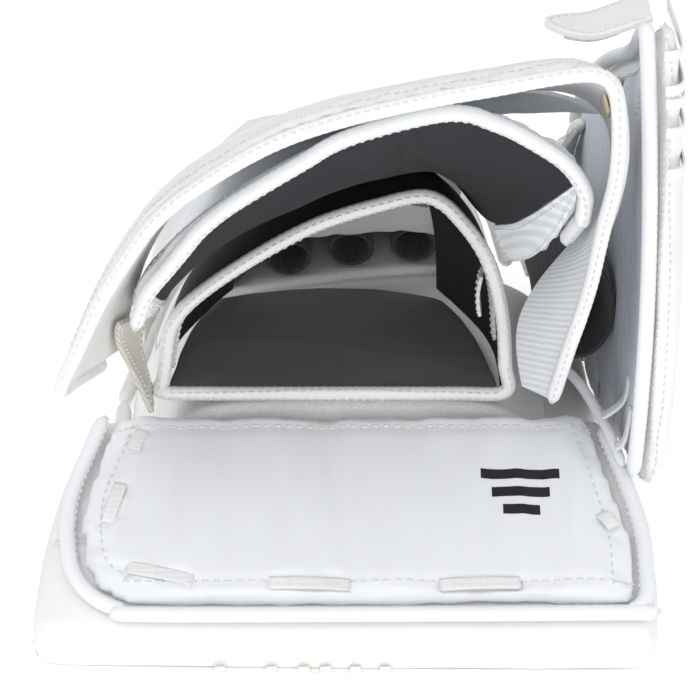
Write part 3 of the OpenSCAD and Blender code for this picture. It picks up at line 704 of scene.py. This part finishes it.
@dataclass
class SubAssembly:
    """A group of pieces that ride on one body of the frame."""

    body: str = "hand"

    def place(self, obj: bpy.types.Object, finish: Finish, *nodes: str, fill: float | None = None,
              ride: bool = True) -> bpy.types.Object:
        """Gives a piece its finish and its body, and hides the frame nodes that it stands for.

        Args:
            obj: The finished piece.
            finish: Its finish.
            *nodes: The frame nodes that it replaces.
            fill: How full it is, if it is a padded piece; not used.
            ride: Whether it moves stiffly with the body.

        Returns:
            The same piece.
        """
        obj.data.materials.clear()
        obj.data.materials.append(finish.material())
        if ride:
            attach(obj, self.body)
        if nodes:
            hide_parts(*nodes)
        log.info("%s: %d points", obj.name, len(obj.data.vertices))
        return obj

    def soft(self, node: str, finish: Finish, levels: int = 2, crease: float = 0.9,
             sharp: float = 50.0) -> bpy.types.Object:
        """A smooth copy of a node, finished and placed."""
        return self.place(soft_copy(node, levels, crease, sharp), finish, node)

    def roll(self, node: str, radius: float, finish: Finish = BINDING) -> bpy.types.Object:
        """A sewn roll along a node's middle line, finished and placed."""
        return self.place(tube(f"{node}_finished", centre_line(node), radius), finish, node)

    def sew(self, name: str, rows: list[Path], *on: bpy.types.Object, closed: bool = False,
            keep: Callable[[Vector], bool] = lambda p: True, step: float = 3.4 * MM) -> bpy.types.Object:
        """Rows of stitches on finished pieces, finished and placed."""
        made = stitches(name, rows, surface(*on), closed=closed, keep=keep, step=step, length=0.66 * step)
        return self.place(made, THREAD)


@dataclass
class Cuff(SubAssembly):
    """The cuff: its boards, padded liner, edge roll, laces and mark."""

    roll_radius: float = 3.1 * MM
    liner_row: float = 9 * MM
    roll_row: float = 3.4 * MM
    margin_seam: float = 36 * MM

    def build(self) -> None:
        """Builds and dresses the cuff."""
        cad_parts["cuff_core"].data.materials.clear()
        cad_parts["cuff_core"].data.materials.append(FOAM.material())
        base = soft_copy("cuff_base", 2, 0.45, 40)
        cover = wrinkled(soft_copy("cuff_cover", 3, 0.35, 40), 0.7 * MM, (0.05, 0.05, 0.03))
        self.place(base, VINYL, "cuff_base")
        self.place(cover, VINYL, "cuff_cover", fill=0.7)
        liner = cloth_pad("cuff_liner", 2.6 * MM, 3.0, 1.6 * MM)
        row = border("cuff_liner", Vector((0, -0.3, 1)), self.liner_row)
        wrinkled(liner, 1.5 * MM, (0.013, 0.075, 0.05))
        press(liner, [row + row[:1]], 0.7 * MM, 3 * MM)
        self.place(liner, NYLON, "cuff_liner", fill=0.45)
        edge = self.roll("cuff_liner_roll", self.roll_radius, NYLON)
        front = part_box("mouth_binding")[0][1] - 6 * MM
        self.sew("cuff_liner_stitches", [row], liner, closed=True, keep=lambda p: p.y < front, step=4.2 * MM)
        beside = self.beside(centre_line("cuff_liner_roll"), self.roll_row)
        self.sew("cuff_roll_stitches", [beside], edge, liner)
        self.soft("cuff_lace", LACE, 2, 0.7)
        self.soft("cuff_ribs", VINYL, 2, 0.6)
        self.seams(cover, base)
        self.mark(liner)

    def beside(self, path: Path, out: float) -> Path:
        """A line beside a roll, on its inner side over the liner."""
        middle = sum(path, Vector()) / len(path)
        found: Path = []
        for k, spot in enumerate(path):
            along = path[min(k + 1, len(path) - 1)] - path[max(k - 1, 0)]
            side = along.cross(Vector((0, 0, 1))).normalized()
            found.append(spot + side * (out if side.dot(middle - spot) > 0 else -out))
        return found

    def seams(self, cover: bpy.types.Object, base: bpy.types.Object) -> None:
        """Sews the seam between the cover and the base, and one across the left margin.

        Args:
            cover: The cuff's upper cover.
            base: The cuff's lower shell.
        """
        lowest = border("cuff_base", Vector((0, 0, 1)), -0.2 * MM)
        self.sew("cuff_base_stitches", [lowest], cover, base, closed=True, keep=lambda p: p.y < 0.0)
        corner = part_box("cuff_cover")[0]
        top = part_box("cuff_liner")[1][2]
        tree = surface(cover)
        across = [Vector((corner[0] + 3 * MM + 16 * MM * t, corner[1] + self.margin_seam, top))
                  for t in (0, 0.5, 1)]
        across = [tree.find_nearest(p)[0] for p in across]
        press(cover, [across], 1.1 * MM, 2.2 * MM)
        self.sew("cuff_margin_stitches", [across], cover)

    def mark(self, liner: bpy.types.Object) -> None:
        """Prints three plain bars, each shorter than the last, near the liner's right corner.

        Args:
            liner: The finished liner.
        """
        lowest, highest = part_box("cuff_liner")
        tree = surface(liner)
        for k, wide in enumerate((30 * MM, 22 * MM, 14 * MM)):
            bm = bmesh.new()
            bmesh.ops.create_grid(bm, x_segments=14, y_segments=3, size=0.5, matrix=Matrix.Diagonal(
                (wide, 4.4 * MM, 1, 1)))
            centre = Vector((highest[0] - 42 * MM, lowest[1] + 56 * MM - 8 * MM * k, 0.0))
            for vert in bm.verts:
                spot = vert.co + centre
                hit = tree.ray_cast(Vector((spot.x, spot.y, highest[2] + 0.05)), Vector((0, 0, -1)))[0]
                vert.co = (hit or spot) + Vector((0, 0, 0.12 * MM))
            self.place(as_object(bm, f"cuff_mark_{k + 1}"), INK)


@dataclass
class Thumb(SubAssembly):
    """The thumb board: padded shell, liner, edge roll, strips, laces and the thumb's sleeve."""

    roll_radius: float = 3.0 * MM

    def build(self) -> None:
        """Builds and dresses the thumb board."""
        shell = cloth_pad("thumb_shell", 4 * MM, 3.0, 2.4 * MM)
        rim = border("thumb_shell", Vector((-1, 0, 0)), 3 * MM, 50)
        outer = border("thumb_shell", Vector((1, 0, 0)), 5 * MM, 50)
        press(shell, [outer + outer[:1]], 0.8 * MM, 2.4 * MM)
        self.place(shell, VINYL, "thumb_shell", fill=0.8)
        self.sew("thumb_edge_stitches", [rim, outer], shell, closed=True)
        liner = cloth_pad("thumb_liner", 2.6 * MM, 2.5, 1.4 * MM)
        wrinkled(liner, 0.9 * MM, (0.05, 0.05, 0.05))
        # The thumb liner takes the painted-shade copy of the liner nylon.
        self.place(liner, THUMB_NYLON_PAINTED_SHADE, "thumb_liner", fill=0.4)
        line = border("thumb_liner", Vector((-1, 0, 0)), 2.6 * MM, 50)
        self.sew("thumb_liner_stitches", [line], liner, closed=True)
        self.roll("thumb_roll", self.roll_radius, NYLON)
        self.roll("valley_roll", 2.1 * MM, NYLON)
        self.soft("thumb_ribs", VINYL, 2, 0.6)
        self.soft("thumb_lace", LACE, 2, 0.7)
        self.place(wrinkled(soft_copy("thumb_stall", 2, 0.7), 0.9 * MM, (0.02, 0.03, 0.02)), DARK_KNIT,
                   "thumb_stall", fill=0.4)


@dataclass
class Palm(SubAssembly):
    """The palm: grained outer face, foam, rolled edge and suede floor."""

    edge_radius: float = 3.5 * MM

    def build(self) -> None:
        """Builds and dresses the palm."""
        face = wrinkled(soft_copy("palm_leather", 3, 0.9), 0.6 * MM, (0.04, 0.03, 0.03))
        self.place(face, PALM, "palm_leather")
        self.soft("palm_foam", FOAM, 2, 0.8)
        self.roll("palm_edge", self.edge_radius, VINYL)
        # The suede floor's lifted colour is partly painted light.
        floor = wrinkled(soft_copy("palm_suede", 3, 0.9), 0.8 * MM, (0.035, 0.03, 0.03))
        self.place(floor, SUEDE, "palm_suede")


@dataclass
class HandOpening(SubAssembly):
    """The hand tunnel: lining, bound lip, facings, tab, straps, gusset and vent."""

    lip_radius: float = 3.1 * MM

    def build(self) -> None:
        """Builds and dresses the hand opening."""
        lining = wrinkled(soft_copy("tunnel_lining", 3, 1.0), 0.5 * MM, (0.025, 0.03, 0.025))
        self.place(lining, TRICOT, "tunnel_lining")
        line = round_line("mouth_binding", 6)
        lip = self.place(tube("mouth_binding_finished", line, self.lip_radius, closed=True), BINDING,
                         "mouth_binding")
        middle = sum(line, Vector()) / len(line)
        rows = [[p + (middle - p).normalized() * inwards + Vector((0, -2 * MM, 0)) for p in line]
                for inwards in (-1 * MM, 2.2 * MM)]
        self.sew("mouth_stitches", rows, lip, closed=True)
        self.soft("vent_mesh", VENT, 1, 1.0)
        for name in ("left_facing", "right_facing", "facing_tab"):
            piece = self.soft(name, WEBBING, 3, 0.95)
            side = Vector((1, -0.4, 0)) if name == "left_facing" else Vector((-1, -0.4, 0))
            self.sew(f"{name}_stitches", [border(name, side, 1.6 * MM)], piece, closed=True, step=2.8 * MM)
        # The strap and its tab share the suede's colour, lifted as painted light.
        strap = self.soft("hand_strap", SUEDE, 3, 0.9)
        tab = self.soft("hand_strap_tab", SUEDE, 3, 0.9)
        for name, node, piece in (("hand_strap_stitches", "hand_strap", strap),
                                  ("hand_tab_stitches", "hand_strap_tab", tab)):
            self.sew(name, [border(node, Vector((0, -0.4, 1)), 2.4 * MM)], piece, closed=True)
        self.place(wrinkled(soft_copy("elastic_gusset", 3, 0.95), 0.5 * MM, (0.003, 0.05, 0.003)), TRICOT,
                   "elastic_gusset")
        self.knuckles()

    def knuckles(self) -> None:
        """Builds the knuckle panel, which stretches from the tunnel to the finger back."""
        panel = cloth_pad("knuckle_panel", 3 * MM, 3.0, 1.6 * MM)
        lowest, highest = (Vector(c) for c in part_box("knuckle_panel"))
        folds = [[Vector((lowest.x, y, highest.z)), Vector((highest.x, y + 5 * MM, highest.z))]
                 for y in (lowest.y + 0.4 * (highest.y - lowest.y), lowest.y + 0.7 * (highest.y - lowest.y))]
        tree = surface(panel)
        down = Vector((0, 0, -1))
        folds = [[tree.ray_cast(p - 0.05 * down, down)[0] or p for p in resampled(f, 4 * MM)] for f in folds]
        press(panel, folds, 1.6 * MM, 3 * MM)
        edge = border("knuckle_panel", Vector((0, 0, 1)), 3 * MM)
        rim = self.sew("knuckle_stitches", [edge], panel, closed=True)
        self.place(panel, VINYL, "knuckle_panel", fill=0.6, ride=False)
        rim.parent = None
        for piece in (panel, rim):
            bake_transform(piece)


@dataclass
class Backhand(SubAssembly):
    """The backhand pad: shell, black lining, edge binding, flanges and hook strap."""

    body: str = "backhand"
    binding_radius: float = 3.1 * MM

    def build(self) -> None:
        """Builds and dresses the backhand pad."""
        shell = cloth_pad("backhand_shell", 3.4 * MM, 3.5, 2.2 * MM)
        out = border("backhand_shell", Vector((0, 0.4, 1)), 6 * MM, 50)
        press(shell, [out + out[:1]], 0.8 * MM, 2.6 * MM)
        self.place(shell, NYLON, "backhand_shell", fill=0.7)
        self.sew("backhand_stitches", [out], shell, closed=True)
        lining = soft_copy("backhand_lining", 3, 0.85)
        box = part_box("backhand_lining")
        crease_x = box[0][0] + 0.60 * (box[1][0] - box[0][0])
        crease = [Vector((crease_x + 6 * MM * t, box[0][1] + 4 * MM + 45 * MM * t,
                          box[1][2] - 4 * MM - 50 * MM * t)) for t in (0, 0.25, 0.5, 0.75, 1)]
        tree = surface(lining)
        press(lining, [[tree.find_nearest(p)[0] for p in crease]], 2.0 * MM, 5 * MM)
        wrinkled(lining, 0.7 * MM, (0.03, 0.03, 0.03))
        self.place(lining, TRICOT, "backhand_lining", fill=0.5)
        edge = self.roll("backhand_binding", self.binding_radius)
        line = centre_line("backhand_binding")
        self.sew("backhand_binding_stitches", [[p + Vector((0, -2.2 * MM, -2.2 * MM)) for p in line]], edge)
        for name, side in (("right_flange", -1), ("left_flange", 1)):
            piece = self.soft(name, WEBBING, 3, 0.9)
            self.sew(f"{name}_stitches", [border(name, Vector((side, -0.5, 0)), 2 * MM)], piece, closed=True,
                     step=2.8 * MM)
        strap = self.soft("hook_strap", HOOK_CLOTH, 3, 0.8)
        edge_line = border("hook_strap", Vector((0, -1, 0.3)), 2 * MM)
        self.sew("hook_strap_stitches", [edge_line], strap, closed=True)


@dataclass
class WristWrap(SubAssembly):
    """The wrist wrap: shell, ribbed lining, binding, end pad, tongue and keeper."""

    body: str = "wrap"
    binding_radius: float = 2.9 * MM

    def build(self) -> None:
        """Builds and dresses the wrist wrap."""
        shell = cloth_pad("wrap_shell", 2.8 * MM, 3.5, 1.8 * MM)
        out = border("wrap_shell", Vector((0, -0.2, 1)), 6 * MM, 50)
        press(shell, [out + out[:1]], 0.7 * MM, 2.4 * MM)
        wrinkled(shell, 0.6 * MM, (0.05, 0.05, 0.04))
        self.place(shell, VINYL, "wrap_shell", fill=0.6)
        self.sew("wrap_stitches", [out], shell, closed=True)
        self.soft("wrap_lining", WEBBING, 3, 0.9)
        edge = self.roll("wrap_binding", self.binding_radius)
        line = centre_line("wrap_binding")
        self.sew("wrap_binding_stitches", [[p + Vector((0, -2 * MM, 2 * MM)) for p in line]], edge)
        self.place(wrinkled(soft_copy("wrap_end_pad", 3, 0.7), 0.4 * MM, (0.03, 0.03, 0.02)), VINYL,
                   "wrap_end_pad", fill=0.5)
        tongue = wrinkled(soft_copy("wrap_tongue", 3, 0.9), 0.9 * MM, (0.02, 0.06, 0.03))
        self.place(tongue, NYLON, "wrap_tongue")
        self.soft("wrap_keeper", TAN, 2, 0.6)


@dataclass
class ThumbStrap(SubAssembly):
    """The vinyl strap on the thumb board's top edge, and its web."""

    body: str = "strap"

    def build(self) -> None:
        """Builds and dresses the strap."""
        strap = self.soft("thumb_strap", VINYL, 3, 0.85)
        self.soft("thumb_strap_web", WEBBING, 3, 0.85)
        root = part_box("thumb_strap")[1][0] - 3 * MM
        self.sew("thumb_strap_stitches", [border("thumb_strap", Vector((0, 0, 1)), 2.4 * MM)], strap,
                 closed=True, keep=lambda p: p.x < root)


@dataclass
class Fingers(SubAssembly):
    """The finger section: leather face, foam, sleeves, padded back and rolled edge."""

    body: str = "fingers"

    def build(self) -> None:
        """Builds and dresses the fingers."""
        self.place(wrinkled(soft_copy("finger_leather", 2, 0.9), 0.5 * MM, (0.04, 0.04, 0.03)), PALM,
                   "finger_leather")
        self.soft("finger_foam", FOAM, 1, 0.9)
        self.place(wrinkled(soft_copy("finger_stalls", 2, 0.8), 0.4 * MM, (0.02, 0.02, 0.02)), DARK_KNIT,
                   "finger_stalls")
        back = cloth_pad("finger_back", 4 * MM, 3.5, 2.2 * MM)
        lowest, highest = (Vector(c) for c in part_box("finger_back"))
        tree = surface(back)
        seams: list[Path] = []
        for share in (0.27, 0.42, 0.58, 0.74):
            line = [Vector((lowest.x + (highest.x - lowest.x) * (share + 0.03 * t), lowest.y + 8 * MM
                            + (highest.y - lowest.y - 50 * MM) * t, highest.z + 0.05)) for t in
                    (0, 0.2, 0.4, 0.6, 0.8, 1)]
            seams.append([hit for p in line if (hit := tree.ray_cast(p, Vector((0, 0, -1)))[0])])
        press(back, seams, 2.2 * MM, 3.4 * MM)
        rim = border("finger_back", Vector((0, 0, 1)), 5 * MM, 50)
        press(back, [rim + rim[:1]], 0.8 * MM, 2.6 * MM)
        self.place(back, VINYL, "finger_back", fill=0.75)
        self.sew("finger_back_stitches", seams, back)
        self.sew("finger_rim_stitches", [rim], back, closed=True)
        self.roll("finger_edge", 3.5 * MM, VINYL)


@dataclass
class Web(SubAssembly):
    """The catching web between the thumb board and the fingers."""

    body: str = "web"

    def build(self) -> None:
        """Builds and dresses the web."""
        panel = self.soft("web_panel", VINYL, 2, 0.9)
        self.roll("web_binding", 3.0 * MM)
        self.soft("web_lace", LACE, 2, 0.7)
        self.sew("web_stitches", [border("web_panel", Vector((0, 0, 1)), 4 * MM)], panel, closed=True)


@dataclass
class Studio:
    """Camera, floor and soft lights."""

    spot: tuple[float, float, float] = (-0.0015, -1.1149, 0.624)
    look: tuple[float, float, float] = (0.0, 0.8829, -0.4695)
    lens: float = 153.0

    def build(self) -> None:
        """Places the camera, the floor and the lights."""
        camera = bpy.data.cameras.new("camera")
        camera.lens, camera.sensor_width = self.lens, 36.0
        holder = bpy.data.objects.new("camera", camera)
        bpy.context.scene.collection.objects.link(holder)
        holder.location = self.spot
        holder.rotation_euler = Vector(self.look).to_track_quat("-Z", "Y").to_euler()
        bpy.context.scene.camera = holder
        bm = bmesh.new()
        bmesh.ops.create_grid(bm, x_segments=1, y_segments=1, size=6.0,
                              matrix=Matrix.Translation((0, 0, -0.6 * MM)))
        floor = as_object(bm, "studio_floor")
        paper = bpy.data.materials.new("studio_paper")
        paper.use_nodes = True
        shader = paper.node_tree.nodes["Principled BSDF"]
        shader.inputs["Base Color"].default_value = (0.93, 0.93, 0.93, 1)
        shader.inputs["Roughness"].default_value = 0.9
        shader.inputs["Emission Color"].default_value = (1, 1, 1, 1)
        shader.inputs["Emission Strength"].default_value = 0.35
        floor.data.materials.append(paper)
        world = bpy.data.worlds.new("studio_air")
        world.use_nodes = True
        world.node_tree.nodes["Background"].inputs[0].default_value = (0.97, 0.98, 1.0, 1)
        world.node_tree.nodes["Background"].inputs[1].default_value = 0.55
        bpy.context.scene.world = world
        bpy.context.scene.view_settings.view_transform = "Standard"
        self.light("key", (-0.9, -0.8, 1.7), 1.2, 11.0)
        self.light("front", (0.0, -1.6, 0.6), 0.8, 7.0)
        self.light("fill", (1.3, -1.2, 0.9), 1.4, 6.0)
        self.light("top", (0.1, 0.5, 1.9), 1.6, 7.0)

    def light(self, name: str, spot: tuple[float, float, float], size: float, power: float) -> None:
        """Adds one soft light that looks at the glove.

        Args:
            name: The light's name.
            spot: Where it hangs.
            size: How wide it is.
            power: Its power in watts.
        """
        lamp = bpy.data.lights.new(name, "AREA")
        lamp.size, lamp.energy = size, power
        holder = bpy.data.objects.new(name, lamp)
        bpy.context.scene.collection.objects.link(holder)
        holder.location = spot
        holder.rotation_euler = (Vector((0, 0, 0.08)) - Vector(spot)).to_track_quat("-Z", "Y").to_euler()


def main() -> None:
    """Builds the glove's sub-assemblies in order."""
    logging.basicConfig(level=logging.INFO, format="%(name)s: %(message)s")
    parts = (Studio(), Cuff(), Thumb(), Palm(), HandOpening(), Backhand(), WristWrap(), ThumbStrap(),
             Fingers(), Web())
    for part in parts:
        log.info("building %s", type(part).__name__)
        part.build()


if __name__ == "__main__":
    main()
